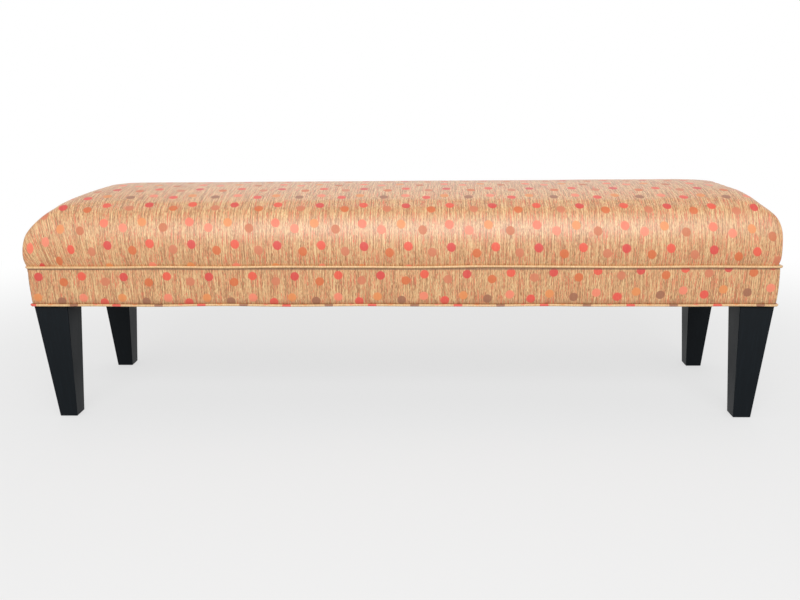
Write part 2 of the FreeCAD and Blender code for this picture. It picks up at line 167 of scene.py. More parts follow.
class StageLook(bpy.types.PropertyGroup):
    focal_pixels: number("Focal length", "Focal length in pixels of an 800 pixel wide picture", 819.2)
    center_right: number("Centre right", "How many pixels the view's axis lies right of the middle", 17.8)
    center_down: number("Centre down", "How many pixels the view's axis lies below the middle", 26.0)
    camera_right: length("Camera right", "Camera's place to the right of the bench's middle", 0.0649)
    camera_away: length("Camera away", "Camera's distance from the front of the bench", 1.6123)
    camera_height: length("Camera height", "Camera's height over the floor", 0.678)
    pitch: angle("Pitch", "How far the camera looks down", 16.160)
    yaw: angle("Yaw", "How far the camera looks to the left", 1.112)
    roll: angle("Roll", "How far the camera leans", -0.288)
    floor: color("Floor", "Colour of the floor", 206, 206, 206)
    clear: length("Clear", "Distance from the bench's middle to which the floor is plain", 0.95)
    white: length("White", "Distance from the bench's middle from which the backdrop is white", 2.2)
    sky: number("Sky", "Strength of the even light all round", 0.55)
    key_power: bpy.props.FloatProperty(name="Key light", description="Power of the large light in front",
                                       default=76, unit="POWER")


CORNERS = ("front_left", "front_right", "rear_left", "rear_right")

SETTINGS = {
    "bench_plan": BenchPlan,
    "bench_crown": CrownShape,
    "bench_cloth": ClothLook,
    "bench_legs": LegShape,
    "bench_underside": UndersideShape,
    "bench_stage": StageLook,
}


# Shader maths

class Value:
    """A socket that takes part in Python arithmetic: each step adds its Math node."""

    def __init__(self, shader, socket):
        self.shader = shader
        self.socket = socket

    def math(self, operation, *others):
        return self.shader.node("Math", {"operation": operation}, [self, *others])

    def __add__(self, other):
        return self.math("ADD", other)

    def __sub__(self, other):
        return self.math("SUBTRACT", other)

    def __mul__(self, other):
        return self.math("MULTIPLY", other)

    def __truediv__(self, other):
        return self.math("DIVIDE", other)

    def __rsub__(self, other):
        return self.shader.node("Math", {"operation": "SUBTRACT"}, [other, self])

    __radd__ = __add__
    __rmul__ = __mul__

    def rise(self, low, high):
        """0 below low, 1 above high and smooth between them."""
        return self.shader.node("MapRange", {"interpolation_type": "SMOOTHSTEP"}, [self, low, high, 0.0, 1.0])


class Shader:
    """A material with one surface shader, built by one method for every node."""

    def __init__(self, name, **constants):
        self.material = bpy.data.materials.new(name)
        self.material.use_nodes = True
        self.tree = self.material.node_tree
        self.surface = self.tree.nodes["Principled BSDF"]
        for key, value in constants.items():
            self.surface.inputs[key.replace("_", " ").title().replace("Ior", "IOR")].default_value = value

    def node(self, kind, settings=None, values=(), output=0):
        made = self.tree.nodes.new("ShaderNode" + kind)
        for key, value in (settings or {}).items():
            setattr(made, key, value)
        pairs = values.items() if isinstance(values, dict) else enumerate(values)
        for key, value in pairs:
            self.feed(made.inputs[key], value)
        return Value(self, made.outputs[output])

    def feed(self, socket, value):
        if isinstance(value, Value):
            self.tree.links.new(value.socket, socket)
        elif hasattr(value, "__len__") and len(value) == 3 and len(socket.default_value) == 4:
            socket.default_value = (*value, 1.0)
        else:
            socket.default_value = value

    def place(self):
        return self.node("TexCoord", output="Object")

    def cloth_map(self, name):
        return self.node("UVMap", {"uv_map": name})

    def stretch(self, vector, scale, offset=(0, 0, 0)):
        return self.node("VectorMath", {"operation": "MULTIPLY_ADD"}, [vector, scale, offset])

    def noise(self, vector, scale=1.0, detail=2.0, roughness=0.5):
        values = {"Vector": vector, "Scale": scale, "Detail": detail, "Roughness": roughness}
        return self.node("TexNoise", values=values)

    def mix(self, factor, first, second):
        """A blend of two colours."""
        made = self.tree.nodes.new("ShaderNodeMix")
        made.data_type = "RGBA"
        for name, value in (("Factor_Float", factor), ("A_Color", first), ("B_Color", second)):
            socket = next(s for s in made.inputs if s.identifier == name)
            self.feed(socket, value)
        return Value(self, next(s for s in made.outputs if s.identifier == "Result_Color"))

    def split(self, vector):
        made = self.tree.nodes.new("ShaderNodeSeparateXYZ")
        self.feed(made.inputs[0], vector)
        return [Value(self, socket) for socket in made.outputs]

    def finish(self, base_color, roughness=None, height=None, depth=0.001):
        """Join what changes over the surface: its colour, its roughness and the height of its relief."""
        self.feed(self.surface.inputs["Base Color"], base_color)
        if roughness is not None:
            self.feed(self.surface.inputs["Roughness"], roughness)
        if height is not None:
            bump = self.node("Bump", values={"Strength": 1.0, "Distance": depth, "Height": height})
            self.feed(self.surface.inputs["Normal"], bump)
        return self.material


# Materials. A border's cloth is darkened by these shares beside the two welts: painted shade for the shadow
# lines under the upper welt and above the lower one

UPPER_WELT_PAINTED_SHADE = 0.6
LOWER_WELT_PAINTED_SHADE = 0.3


def dot_rows(look):
    """Every dot of one repeat: its place along and across the repeat, and its colour."""
    row_a = [(0.0, 0.0, look.dark_red), (0.29, -0.25, look.orange),
             (0.508, 0.03, look.orange_red), (0.78, -0.22, look.dull_pink)]
    row_b = [(-0.01, 1.0, look.salmon), (0.21, 0.75, look.light_pink),
             (0.437, 1.0, look.light_orange), (0.682, 0.75, look.brown_orange)]
    row_c = [(along + 0.5, across + 2.0, shade) for along, across, shade in row_a]
    row_d = [(0.50, 3.0, look.light_pink), (0.745, 2.78, look.red),
             (-0.04, 3.0, look.light_orange), (0.24, 2.82, look.brown)]
    return [(along, across / 4, shade) for along, across, shade in row_a + row_b + row_c + row_d]


def streaks(shader, cloth, across, along, seed):
    """Noise drawn out into threads: this many features a metre across the threads and along them."""
    return shader.noise(shader.stretch(cloth, (across, along, 0), (seed, seed / 3, seed)), detail=1.0)


def thread_shade(shader, cloth, look):
    """The striped ground: gold threads of two lengths with coral and olive ones among them."""
    long_thread = streaks(shader, cloth, 760, 14, 3.1)
    short_thread = streaks(shader, cloth, 900, 120, 17.3)
    coral = streaks(shader, cloth, 700, 24, 12.9) * 0.65 + streaks(shader, cloth, 900, 170, 5.3) * 0.35
    olive = streaks(shader, cloth, 900, 28, 21.4) * 0.6 + streaks(shader, cloth, 900, 140, 9.9) * 0.4
    tone = long_thread * 0.6 + short_thread * 0.4
    shade = shader.mix(tone.rise(0.42, 0.60), look.ground, look.pale_thread)
    shade = shader.mix(olive.rise(0.47, 0.59) * look.contrast, shade, look.olive_thread)
    shade = shader.mix(coral.rise(0.54, 0.62) * look.contrast, shade, look.coral_thread)
    return shade, tone


def dotted_cloth(name, look, start, slope=0.0, bend=0.0, lean=0.0, stretch=1.0, calm_and_highlight=0.0, border_height=None):
    """Striped satin with woven dots. Its map is in metres, the first number along the bench.

    start is where a dark red dot lies on the map. slope and bend say how the rows rise along the bench, lean
    how the columns lean to the left, and stretch how much the cloth is drawn out across the bench.
    calm_and_highlight mixes the cloth towards the pale thread: it evens out the streaks and, on the welts,
    lightens the cloth as a painted highlight. A border's cloth, of this height, is darker where it goes in
    behind the two welts, as painted shade.
    """
    shader = Shader(name, ior=1.65, specular_ior_level=0.68, sheen_weight=0.10, sheen_roughness=0.4)
    cloth = shader.cloth_map("cloth")
    shade, tone = thread_shade(shader, cloth, look)
    # Mixing towards the pale thread evens out the streaks; on the welts it also lightens the cloth as a
    # painted highlight.
    shade = shader.mix(calm_and_highlight, shade, look.pale_thread)
    ragged = shader.noise(shader.stretch(cloth, (2600, 900, 0)), detail=1.0)
    edge = (ragged - 0.5) * 0.008
    radius = look.dot_diameter / look.repeat / 2
    u, v, _ = shader.split(cloth)
    run = u - start[0]
    climb = v - start[1] - run * slope - run * run * bend
    square = shader.node("CombineXYZ", {}, [(run + climb * lean) / look.repeat,
                                            climb / look.repeat / stretch])
    half_repeat = (0.5, 0.5, 0.5)
    minus_half_repeat = (-0.5, -0.5, -0.5)
    dots = None
    for along, across, dot_shade in dot_rows(look):
        offset = shader.stretch(square, (1, 1, 0), (-along, -across, 0))
        offset = shader.node("VectorMath", {"operation": "WRAP"}, [offset, half_repeat, minus_half_repeat])
        reach = shader.node("VectorMath", {"operation": "LENGTH"}, [offset], output="Value") + edge
        mask = 1 - reach.rise(radius - 0.005, radius + 0.004)
        shade = shader.mix(mask * 0.92, shade, dot_shade)
        dots = mask if dots is None else dots + mask
    # Painted shade: a border's cloth is mixed towards a dark olive in a narrow line just under the upper welt
    # and, fading upwards, just above the lower welt.
    if border_height is not None:
        painted_shade_under_welt = v.rise(border_height - 0.0060, border_height - 0.0045) * UPPER_WELT_PAINTED_SHADE
        painted_shade_over_welt = LOWER_WELT_PAINTED_SHADE - v.rise(0.002, 0.014) * LOWER_WELT_PAINTED_SHADE
        shade = shader.mix(painted_shade_under_welt + painted_shade_over_welt, shade, [c * 0.45 for c in look.olive_thread])
    height = tone + dots * 0.4
    return shader.finish(shade, 0.35 + tone * 0.14 + dots * 0.12, height, 0.0002)


def lacquered_wood(look):
    """Satin black lacquer with a faint grain, a little uneven from handling."""
    shader = Shader("ebony_lacquer", specular_ior_level=0.09, coat_weight=0.02, coat_roughness=0.2)
    place = shader.place()
    grain = shader.noise(shader.stretch(place, (260, 260, 9)), detail=4.0)
    handled = shader.noise(shader.stretch(place, (22, 22, 14)), detail=3.0)
    tone = [min(1.0, 1.9 * c) for c in look.lacquer]
    shade = shader.mix(grain.rise(0.45, 0.75) * 0.35, look.lacquer, tone)
    return shader.finish(shade, 0.30 + handled * 0.16 + grain * 0.05, grain + handled * 0.6, 0.00012)


def planed_timber(name, axis):
    """Unfinished hardwood, its grain along one axis."""
    shader = Shader(name, specular_ior_level=0.3)
    place = shader.place()
    along = [2.0 if i == axis else 46.0 for i in range(3)]
    pores = [30.0 if i == axis else 1400.0 for i in range(3)]
    rings = shader.noise(shader.stretch(place, along), detail=5.0, roughness=0.6)
    pore = shader.noise(shader.stretch(place, pores), detail=1.0)
    shade = shader.mix(rings.rise(0.3, 0.7), (0.60, 0.43, 0.25), (0.42, 0.27, 0.14))
    shade = shader.mix(pore.rise(0.56, 0.70) * 0.5, shade, (0.22, 0.13, 0.06))
    return shader.finish(shade, 0.62 + rings * 0.18, rings * 0.4 - pore.rise(0.56, 0.70), 0.0002)


def moulded_plastic():
    shader = Shader("nylon", specular_ior_level=0.45)
    grain = shader.noise(shader.place(), scale=1800.0, detail=2.0)
    scuffs = shader.noise(shader.place(), scale=160.0, detail=3.0)
    shade = shader.mix(scuffs.rise(0.5, 0.75), (0.013, 0.013, 0.014), (0.045, 0.045, 0.047))
    return shader.finish(shade, 0.42 + scuffs * 0.25, grain, 0.00005)


def zinc_plated():
    shader = Shader("zinc_steel", metallic=1.0)
    spangle = shader.node("TexVoronoi", {}, {"Vector": shader.place(), "Scale": 420.0})
    dull = shader.noise(shader.place(), scale=90.0, detail=3.0)
    shade = shader.mix(dull.rise(0.4, 0.75), (0.60, 0.61, 0.62), (0.42, 0.41, 0.38))
    return shader.finish(shade, 0.26 + dull * 0.22 + spangle * 0.06, spangle, 0.00003)


def plain_weave(name, warp, weft, pitch, relief, roughness=0.85):
    """A plain weave seen from above, with threads this far apart and in two colours."""
    shader = Shader(name, roughness=roughness, specular_ior_level=0.2, sheen_weight=0.15)
    place = shader.place()
    wobble = shader.noise(place, scale=60.0, detail=3.0)
    x, y, _ = shader.split(place)
    turns = math.pi / pitch
    across = (x * turns + wobble * 2.0).math("SINE")
    along = (y * turns + wobble * 2.0).math("SINE")
    over = (across * along).rise(-0.25, 0.25)
    fibre = shader.noise(shader.stretch(place, (900, 900, 900)), detail=3.0)
    shade = shader.mix(over, warp, weft)
    shade = shader.mix(fibre.rise(0.4, 0.8) * 0.4, shade, [c * 0.45 for c in warp])
    height = across.math("ABSOLUTE") * over + along.math("ABSOLUTE") * (1 - over) + fibre * 0.4
    return shader.finish(shade, roughness - 0.1 + fibre * 0.15, height, relief)


def fibrous(name, light, dark, scale, relief):
    """Loose or matted fibres, as in wadding, board and non-woven cloth."""
    shader = Shader(name, specular_ior_level=0.15, sheen_weight=0.1)
    place = shader.place()
    one_way = shader.noise(shader.stretch(place, (scale, scale / 6, scale / 2)), detail=3.0)
    other_way = shader.noise(shader.stretch(place, (scale / 6, scale, scale / 3), (5, 9, 2)), detail=3.0)
    tufts = shader.noise(place, scale=scale / 12, detail=3.0)
    height = one_way + other_way + tufts
    shade = shader.mix((one_way + other_way).rise(0.75, 1.25), dark, light)
    return shader.finish(shade, 0.78 + tufts * 0.2, height, relief)


def white_wadding():
    return fibrous("polyester_wadding", (0.88, 0.88, 0.86), (0.72, 0.72, 0.70), 700.0, 0.0012)


def open_foam():
    shader = Shader("foam", specular_ior_level=0.2)
    place = shader.place()
    cells = shader.node("TexVoronoi", {"feature": "F1"}, {"Vector": place, "Scale": 900.0})
    aged = shader.noise(place, scale=9.0, detail=3.0)
    shade = shader.mix(aged.rise(0.35, 0.7), (0.82, 0.76, 0.52), (0.74, 0.62, 0.36))
    shade = shader.mix(cells.rise(0.35, 0.7) * 0.5, shade, (0.38, 0.31, 0.17))
    return shader.finish(shade, 0.85 + cells * 0.1, 1 - cells, 0.0004)


def twisted_cord():
    shader = Shader("piping_cord", roughness=0.8, sheen_weight=0.1)
    place = shader.place()
    x, y, z = shader.split(place)
    strands = ((x + y + z * 1.5) * 2400.0).math("SINE")
    fibre = shader.noise(place, scale=1500.0, detail=2.0)
    shade = shader.mix(strands.rise(-0.8, 0.4), (0.55, 0.51, 0.42), (0.84, 0.81, 0.73))
    return shader.finish(shade, 0.75 + fibre * 0.15, strands + fibre * 0.5, 0.0002)


def pale_floor(stage):
    """Pale floor that turns into an even white backdrop away from the bench."""
    shader = Shader("floor", roughness=0.7, specular_ior_level=0.1)
    mottle = shader.noise(shader.place(), scale=2.0, detail=2.0)
    shade = shader.mix(mottle * 0.1, stage.floor, [c * 0.98 for c in stage.floor])
    material = shader.finish(shade)
    reach = shader.node("VectorMath", {"operation": "LENGTH"}, [shader.place()], output="Value")
    rays = shader.tree.nodes.new("ShaderNodeLightPath")
    camera_ray = Value(shader, rays.outputs["Is Camera Ray"])
    glossy_ray = Value(shader, rays.outputs["Is Glossy Ray"])
    seen = camera_ray.math("MAXIMUM", glossy_ray)
    glow = shader.node("Emission", {}, {"Color": (1, 1, 1), "Strength": 1.0})
    both = shader.node("MixShader", {}, [(reach.rise(stage.clear, stage.white) * 0.35 + 0.65) * seen,
                                         Value(shader, shader.surface.outputs[0]), glow])
    shader.tree.links.new(both.socket, shader.tree.nodes["Material Output"].inputs["Surface"])
    return material


# Meshes

def grid_mesh(name, columns, rows, place, cloth_map=None, close=0.0):
    """A sheet of squares made a mesh, each corner put in place by its two shares, 0 to 1.

    cloth_map gives the corner's place on the flat cloth, in metres. Corners nearer than close are joined.
    """
    bm = bmesh.new()
    bmesh.ops.create_grid(bm, x_segments=columns, y_segments=rows, size=0.5)
    layer = bm.loops.layers.uv.new("cloth")
    if cloth_map:
        for face in bm.faces:
            for loop in face.loops:
                loop[layer].uv = cloth_map(loop.vert.co.x + 0.5, loop.vert.co.y + 0.5)
    for vert in bm.verts:
        vert.co = place(vert.co.x + 0.5, vert.co.y + 0.5)
    if close:
        bmesh.ops.remove_doubles(bm, verts=bm.verts, dist=close)
    return mesh_object(name, bm)


def mesh_object(name, bm):
    """Keep the mesh as an object at the origin, its faces smooth."""
    for face in bm.faces:
        face.smooth = True
    mesh = bpy.data.meshes.new(name)
    bm.to_mesh(mesh)
    bm.free()
    made = bpy.data.objects.new(name, mesh)
    bpy.context.scene.collection.objects.link(made)
    return made


def dress(piece, material, slot_name, *nodes):
    """Give a piece its material and its place in the model, and let it stand for these nodes."""
    piece.data.materials.clear()
    piece.data.materials.append(material)
    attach(piece, "root")
    if nodes:
        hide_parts(*nodes)


def add_solidify(piece, thickness):
    """Thickness added inwards."""
    made = piece.modifiers.new("thickness", "SOLIDIFY")
    made.thickness = thickness
    made.offset = -1
    made.use_even_offset = True


def add_subdivision(piece):
    made = piece.modifiers.new("smooth", "SUBSURF")
    made.levels = 1
    made.render_levels = 1


def apply_modifiers(piece):
    """Put a piece's modifiers into its mesh."""
    seen = piece.evaluated_get(bpy.context.evaluated_depsgraph_get())
    mesh = bpy.data.meshes.new_from_object(seen)
    piece.modifiers.clear()
    piece.data = mesh


# The outline of the bench, seen from above

def along_side(share, straight, radius):
    """How far along a side, how far behind it and how far round its corner this share of its half lies."""
    run = abs(share) * (straight + radius * math.pi / 4)
    turn = max(0.0, run - straight) / radius
    along = min(run, straight) + radius * math.sin(turn)
    return math.copysign(along, share), radius * (1 - math.cos(turn)), turn


class Outline:
    """A rounded rectangle; its sides are numbered by two shares, of which one is -1 or 1."""

    def __init__(self, left, right, depth, radius):
        self.left = left
        self.right = right
        self.depth = depth
        self.radius = max(0.0006, min(radius, 0.96 * depth, 0.96 * left, 0.96 * right))

    def half_length(self, x):
        return self.left if x < 0 else self.right

    def point(self, p, q):
        """The outline's point where one of the shares is at its end."""
        half_length = self.half_length(p)
        if abs(q) >= abs(p):
            x, behind, _ = along_side(p, half_length - self.radius, self.radius)
            return Vector((x, math.copysign(self.depth - behind, q)))
        y, behind, _ = along_side(q, self.depth - self.radius, self.radius)
        return Vector((math.copysign(half_length - behind, p), y))

    def outward(self, p, q):
        """The way the outline faces at that point."""
        if abs(q) >= abs(p):
            turn = along_side(p, self.half_length(p) - self.radius, self.radius)[2]
            return Vector((math.copysign(math.sin(turn), p), math.copysign(math.cos(turn), q)))
        turn = along_side(q, self.depth - self.radius, self.radius)[2]
        return Vector((math.copysign(math.cos(turn), p), math.copysign(math.sin(turn), q)))

    def fill(self, p, q):
        """A point inside the outline, the four sides blended into each other."""
        u, v = (p + 1) / 2, (q + 1) / 2
        between = (self.point(p, -1) * (1 - v) + self.point(p, 1) * v
                   + self.point(-1, q) * (1 - u) + self.point(1, q) * u)
        corners = (self.point(-1, -1) * (1 - u) * (1 - v) + self.point(1, -1) * u * (1 - v)
                   + self.point(-1, 1) * (1 - u) * v + self.point(1, 1) * u * v)
        return between - corners

    def holds(self, x, y):
        """Whether the point lies inside."""
        over_x = abs(x) - (self.half_length(x) - self.radius)
        over_y = abs(y) - (self.depth - self.radius)
        return math.hypot(max(over_x, 0), max(over_y, 0)) + min(max(over_x, over_y), 0) < self.radius

    def loop_shares(self, share):
        """Both shares of a point at this share of one turn, anticlockwise from the rear side's middle."""
        half_long = (self.left + self.right) / 2 - self.radius + self.radius * math.pi / 4
        half_short = self.depth - self.radius + self.radius * math.pi / 4
        run = (share % 1.0) * 4 * (half_long + half_short)
        if run <= half_long:
            return -run / half_long, 1.0
        run -= half_long
        if run <= 2 * half_short:
            return -1.0, 1 - run / half_short
        run -= 2 * half_short
        if run <= 2 * half_long:
            return run / half_long - 1, -1.0
        run -= 2 * half_long
        if run <= 2 * half_short:
            return 1.0, run / half_short - 1
        run -= 2 * half_short
        return 1 - run / half_long, 1.0

    def girth(self):
        return 4 * ((self.left + self.right) / 2 + self.depth - 2 * self.radius) + 2 * math.pi * self.radius


def even_outline(plan, inset):
    """The bench's outline moved in by this much all round."""
    return Outline(HALF_LENGTH - inset, HALF_LENGTH - inset, HALF_DEPTH - inset, plan.corner_radius - inset)


# The crown: the heights over the upper welt of the rim between its sides and its top and of the sides' foot,
# the squares of its mesh, the steps of the filling's simulation and the points on a slope's curve

SIDE_TOP = 0.104
SIDE_FOOT = 0.0012
COLUMNS = 146
CROSS_ROWS = 40
SIDE_ROWS = 14
FILLING_STEPS = 20
PROFILE_POINTS = 400


class Slope:
    """One side of the crown, an upright arc, a shoulder arc and a top arc, tangent to each other."""

    def __init__(self, run, rise, lean, shoulder, radius):
        first_run = 1 - math.cos(lean)
        last_rise = 1 - math.sin(shoulder)
        spare_run = run - radius * (math.cos(lean) - math.cos(shoulder))
        spare_rise = rise - radius * (math.sin(shoulder) - math.sin(lean))
        scale = first_run * last_rise - math.cos(shoulder) * math.sin(lean)
        first = (spare_run * last_rise - math.cos(shoulder) * spare_rise) / scale
        last = (first_run * spare_rise - math.sin(lean) * spare_run) / scale
        turn = np.linspace(0, math.pi / 2, PROFILE_POINTS)
        low = np.minimum(turn, lean)
        middle = np.clip(turn, lean, shoulder)
        high = np.maximum(turn, shoulder)
        self.insets = (first * (1 - np.cos(low)) + radius * (math.cos(lean) - np.cos(middle))
                       + last * (math.cos(shoulder) - np.cos(high)))
        self.heights = (first * np.sin(low) + radius * (np.sin(middle) - math.sin(lean))
                        + last * (np.sin(high) - math.sin(shoulder)))

    def inset_at(self, height):
        return float(np.interp(height, self.heights, self.insets))


class Crown:
    """The form of the filled cover over the upper welt."""

    def __init__(self, plan, shape):
        self.plan = plan
        self.shape = shape
        self.rise = shape.rise - shape.swell_height
        self.front = Slope(HALF_DEPTH, self.rise, shape.front_lean, shape.front_shoulder, shape.front_radius)
        self.left = Slope(shape.left_run, self.rise, shape.left_lean, shape.left_shoulder, shape.left_radius)
        self.right = Slope(shape.right_run, self.rise, shape.right_lean, shape.right_shoulder,
                           shape.right_radius)

    def outline(self, height):
        """The cover's outline at this height over the upper welt."""
        over = height - self.shape.swell_height
        share = max(0.0, min(1.0, over / self.rise))
        growth = self.shape.corner_growth * share ** 5
        drawn = self.shape.draw_in * max(0.0, -over / self.shape.swell_height) ** 2
        belly = self.shape.left_belly * max(0.0, 1 - (over / self.shape.belly_height) ** 2)
        dip = math.exp(-((over - self.shape.pinch_height) / self.shape.pinch_width) ** 2)
        right_inset = self.right.inset_at(over) + self.shape.right_setback + self.shape.right_pinch * dip
        return Outline(HALF_LENGTH + belly - self.left.inset_at(over) - drawn,
                       HALF_LENGTH - right_inset - drawn,
                       HALF_DEPTH - self.front.inset_at(over) - drawn,
                       self.plan.corner_radius - drawn + growth)

    def height_at(self, x, y):
        """How high the cover is over this point of the plan."""
        low, high = self.shape.swell_height, self.shape.rise
        for _ in range(26):
            middle = (low + high) / 2
            if self.outline(middle).holds(x, y):
                low = middle
            else:
                high = middle
        return low

    def lift(self, x, height):
        """The real height over the floor, with the crown's slight rise towards the right."""
        return UPPER_WELT_Z + height * (1 + self.shape.tilt * x / HALF_LENGTH)


def side_heights(crown):
    """Heights of the side's rows, evenly spaced along the front's curve, from the skirt's foot upwards."""
    heights = np.linspace(SIDE_FOOT, SIDE_TOP, 200)
    insets = np.array([crown.outline(h).depth for h in heights])
    run = np.concatenate([[0], np.cumsum(np.hypot(np.diff(heights), np.diff(insets)))])
    return [float(h) for h in np.interp(np.linspace(0, run[-1], SIDE_ROWS + 1), run, heights)]


def crowd(share):
    """The same share, -1 to 1, with the spacing made finer towards both ends."""
    return share * (1.36 - 0.36 * share * share)


def crown_shell(name, crown):
    """The cover as one sheet: a grid for the top, its rim drawn out downwards row by row."""
    bm = bmesh.new()
    bmesh.ops.create_grid(bm, x_segments=COLUMNS, y_segments=CROSS_ROWS, size=1)
    heights = side_heights(crown)
    rings = [crown.outline(height) for height in heights]
    levels = heights[::-1][1:] + [-crown.shape.skirt / 2, -crown.shape.skirt]
    outlines = rings[::-1][1:] + [rings[0], rings[0]]
    top = rings[-1]
    rim = [edge for edge in bm.edges if edge.is_boundary]
    spots = {vert: (crowd(vert.co.x), crowd(vert.co.y)) for vert in bm.verts}
    for vert, (p, q) in spots.items():
        x, y = top.fill(p, q)
        inside = max(abs(p), abs(q)) < 0.9999
        vert.co = (x, y, crown.lift(x, crown.height_at(x, y) if inside else SIDE_TOP))
    for height, outline in zip(levels, outlines):
        before = {vert for edge in rim for vert in edge.verts}
        made = bmesh.ops.extrude_edge_only(bm, edges=rim)["geom"]
        rim = [item for item in made if isinstance(item, bmesh.types.BMEdge) and item.is_boundary]
        for vert in {vert for edge in rim for vert in edge.verts}:
            above = next(e.other_vert(vert) for e in vert.link_edges if e.other_vert(vert) in before)
            p, q = spots[vert] = spots[above]
            x, y = outline.point(p, q)
            vert.co = (x, y, crown.lift(x, height))
    bmesh.ops.recalc_face_normals(bm, faces=bm.faces)
    return mesh_object(name, bm)


def coordinates(mesh):
    flat = np.empty(len(mesh.vertices) * 3)
    mesh.vertices.foreach_get("co", flat)
    return flat.reshape(-1, 3)


def normals(mesh):
    flat = np.empty(len(mesh.vertices) * 3)
    mesh.vertices.foreach_get("normal", flat)
    return flat.reshape(-1, 3)


def put_coordinates(mesh, points):
    mesh.vertices.foreach_set("co", points.ravel())
    mesh.update()


def fill_with_pressure(piece, shape, fixed_below):
    """Blow the cover up a little by a cloth simulation, held fast below a height, and keep the result."""
    group = piece.vertex_groups.new(name="held")
    rest = coordinates(piece.data)
    for index in np.nonzero(rest[:, 2] < fixed_below)[0]:
        group.add([int(index)], 1.0, "REPLACE")
    cloth = piece.modifiers.new("filling", "CLOTH")
    settings = cloth.settings
    settings.quality = 6
    settings.mass = 0.3
    settings.tension_stiffness = 40
    settings.compression_stiffness = 40
    settings.shear_stiffness = 20
    settings.bending_stiffness = 2
    settings.vertex_group_mass = "held"
    settings.use_pressure = True
    settings.uniform_pressure_force = shape.pressure
    settings.effector_weights.gravity = 0
    cloth.collision_settings.use_collision = False
    for step in range(1, FILLING_STEPS + 1):
        bpy.context.scene.frame_set(step)
    seen = piece.evaluated_get(bpy.context.evaluated_depsgraph_get())
    outward = normals(piece.data)
    swelling = np.clip(((coordinates(seen.data) - rest) * outward).sum(axis=1), 0, shape.give)
    piece.modifiers.clear()
    piece.vertex_groups.clear()
    put_coordinates(piece.data, rest + outward * swelling[:, None])
    bpy.context.scene.frame_set(1)


def add_ripples(piece, shape):
    """Soft unevenness of a hand-covered seat: long swells all over and short puckers just above the welt."""
    mesh = piece.data
    points = coordinates(mesh)
    outward = normals(mesh)
    still_below = 0.0005
    full_above = 0.008
    pucker_height = 0.016
    for i, (x, y, z) in enumerate(points):
        over = z - UPPER_WELT_Z
        if over < still_below:
            continue
        swell = noise.noise(Vector((x * 7, y * 9, z * 9))) * 0.8
        nearness = math.exp(-((over - pucker_height) / pucker_height) ** 2)
        pucker = noise.noise(Vector((x * 34, y * 34, 3.7))) * nearness
        points[i] += outward[i] * shape.ripple * (swell + 1.3 * pucker) * min(1.0, over / full_above)
    put_coordinates(mesh, points)


# The corner pleats: a straight fold on each end near each corner, that leans inwards as it goes up

PLEAT_TOP_Z = UPPER_WELT_Z + 0.098
PLEAT_FOOT_Y = HALF_DEPTH - 0.023
PLEAT_HEAD_Y = HALF_DEPTH - 0.041
FOLD_WIDTH = 0.0012
FADE_LOW = -0.012
FADE_HEIGHT = 0.1
FADE_WIDTH = 0.02
END_ZONE = 0.06


def fold_y(z):
    """How far from the middle of an end its folds lie at this height."""
    return PLEAT_FOOT_Y + (PLEAT_HEAD_Y - PLEAT_FOOT_Y) * (z - UPPER_WELT_Z) / (PLEAT_TOP_Z - UPPER_WELT_Z)


def cut_pleats(piece, shape):
    """Cut the four corner pleats into the ends and raise the folded edge of the end's cloth."""
    bm = bmesh.new()
    bm.from_mesh(piece.data)
    for sign in (-1, 1):
        foot = Vector((0, sign * PLEAT_FOOT_Y, UPPER_WELT_Z))
        head = Vector((0, sign * PLEAT_HEAD_Y, PLEAT_TOP_Z))
        across = Vector((0, head.z - foot.z, foot.y - head.y)).normalized() * sign
        for offset in (0.0, -FOLD_WIDTH):
            near = [f for f in bm.faces if abs(f.calc_center_median().x) > HALF_LENGTH - 0.05
                    and f.calc_center_median().z < PLEAT_TOP_Z]
            geometry = set(near)
            for face in near:
                geometry.update(face.edges)
                geometry.update(face.verts)
            bmesh.ops.bisect_plane(bm, geom=list(geometry), dist=1e-5, plane_co=foot + across * offset,
                                   plane_no=across)
    bm.normal_update()
    for vert in bm.verts:
        over = vert.co.z - UPPER_WELT_Z
        if abs(vert.co.x) < HALF_LENGTH - END_ZONE or over < FADE_LOW:
            continue
        inside = fold_y(vert.co.z) - FOLD_WIDTH / 2 - abs(vert.co.y)
        if inside > 0 and over < FADE_HEIGHT:
            fade = math.exp(-inside / FADE_WIDTH) * (1 - over / FADE_HEIGHT) ** 0.5
            vert.co += vert.normal * shape.pleat_step * fade
    for edge in bm.edges:
        low, high = edge.verts
        on_fold = all(abs(abs(v.co.y) - fold_y(v.co.z)) < 0.0004 for v in (low, high))
        upright = abs(low.co.z - high.co.z) > 0.0005
        edge.seam = on_fold and upright and abs(low.co.x) > HALF_LENGTH - END_ZONE
    bm.to_mesh(piece.data)
    bm.free()


# The cover laid out flat: how far the crest, to which the map is fitted, reaches along and across the bench,
# and how far the map drifts along and across towards the left and the right end of the front and the back

CREST_X = 0.45
CREST_Y = 0.10
LEFT_DRIFT = (0.016, 0.018)
RIGHT_DRIFT = (0.008, 0.004)


def ramp(distance, start, width, most=1.0):
    """0 up to the start, 1 after this width, and on in the same way up to the most."""
    return np.clip((distance - start) / width, 0, most)


